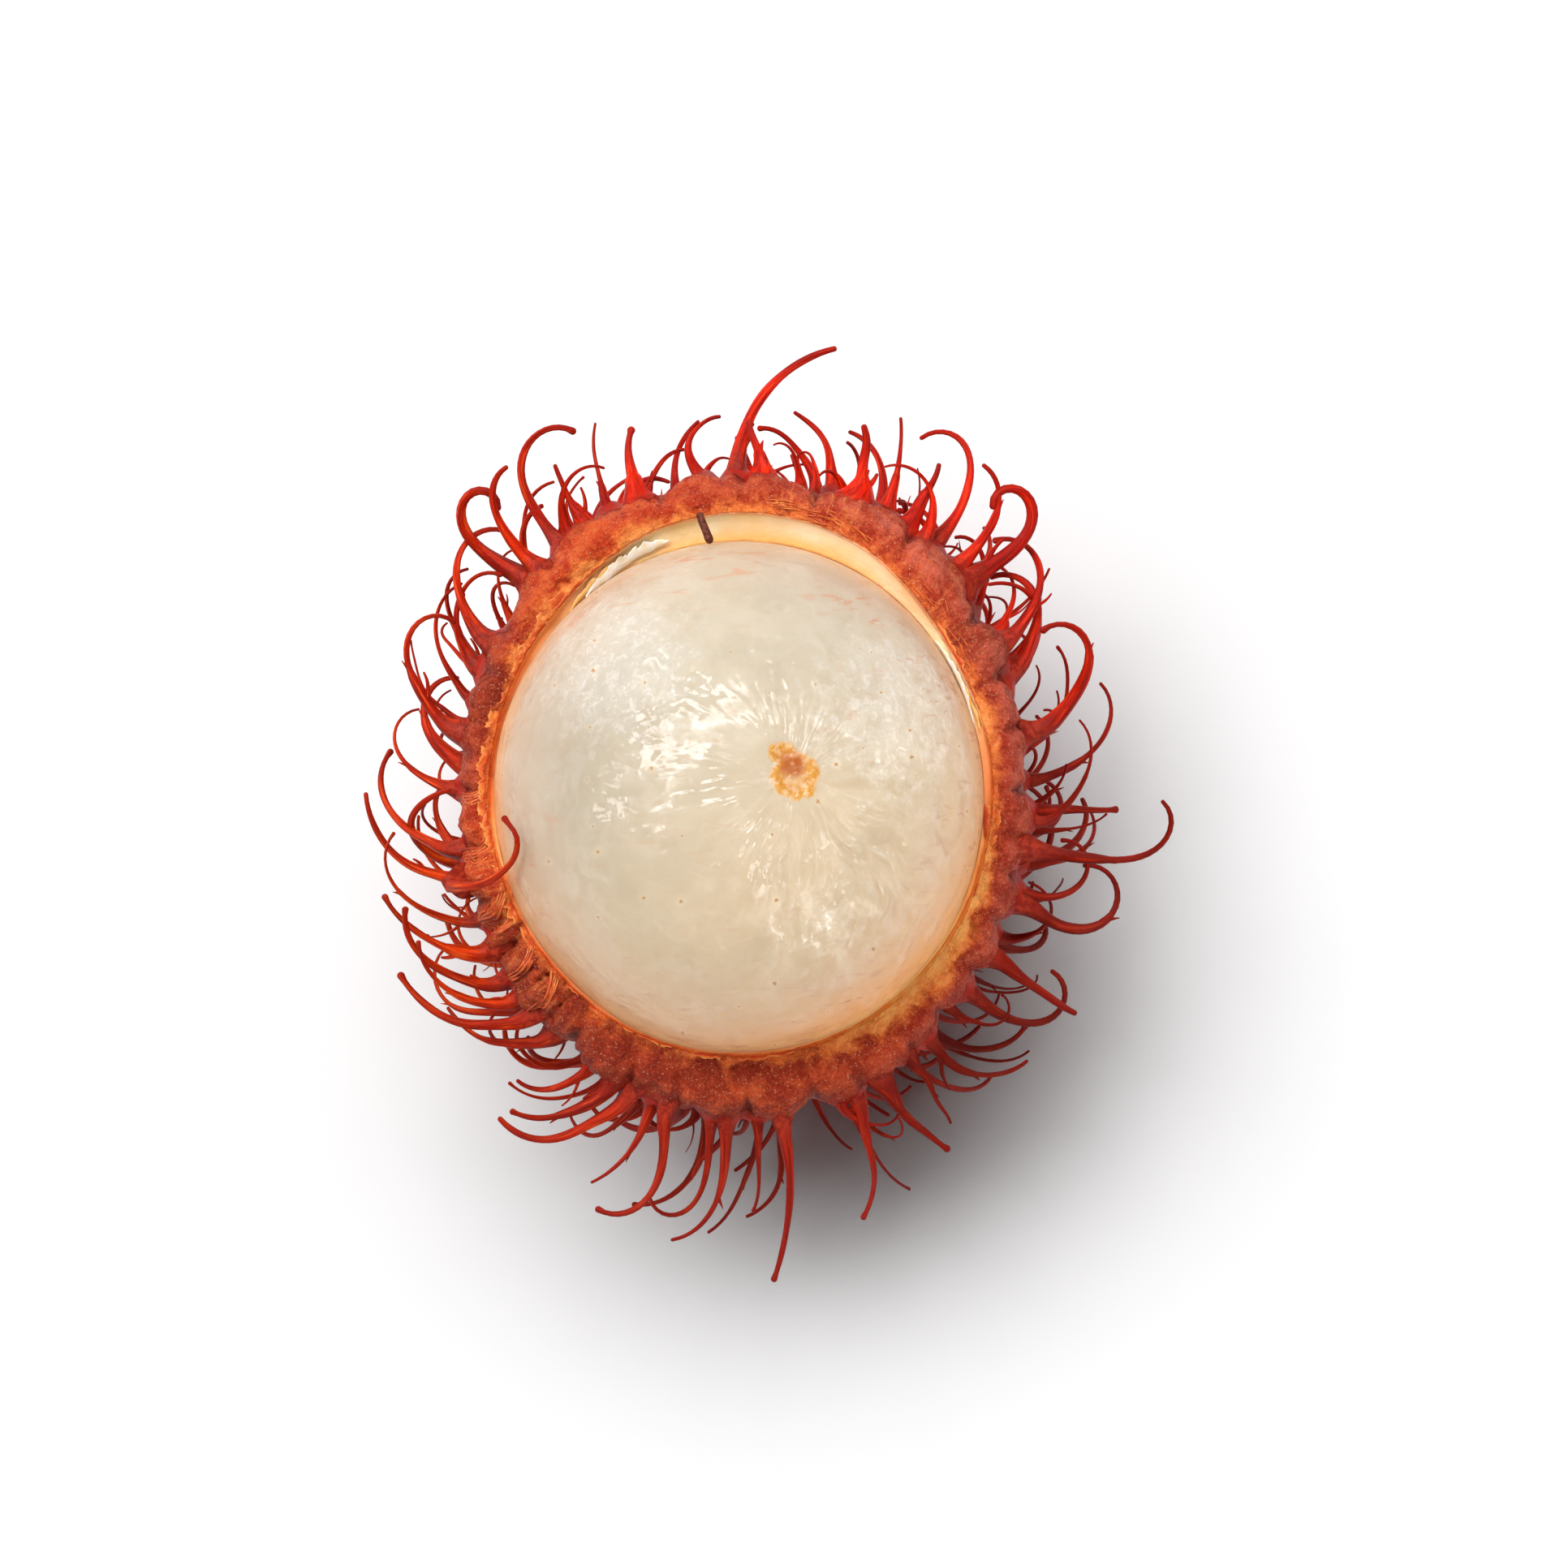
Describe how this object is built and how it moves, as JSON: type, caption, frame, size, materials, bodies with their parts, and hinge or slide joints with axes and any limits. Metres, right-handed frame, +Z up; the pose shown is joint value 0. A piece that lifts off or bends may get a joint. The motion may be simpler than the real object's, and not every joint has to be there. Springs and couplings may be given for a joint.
{
  "type": "rambutan",
  "caption": "Rambutan with the top half of its rind cut away: a cup of red rind covered in soft curling spines, holding the pale flesh.",
  "frame": {"origin": "centre of the small flat spot that the fruit rests on, under the rind", "axes": "+Z up along the stem axis, towards the bare flesh; +Y towards the side where the rind is thinnest and its spines are short; +X to the right of that, seen from above"},
  "size_m": [0.0558, 0.0653, 0.0403],
  "materials": {
    "rind": "thick red fruit skin, darker at the spine tips, with a damp granular orange-brown cut edge",
    "flesh": "translucent cream-white fruit flesh, wet and glossy, with a small brown scar on top"
  },
  "bodies": {
    "root": {"rind": "rind", "flesh": "flesh"}
  },
  "joints": []
}
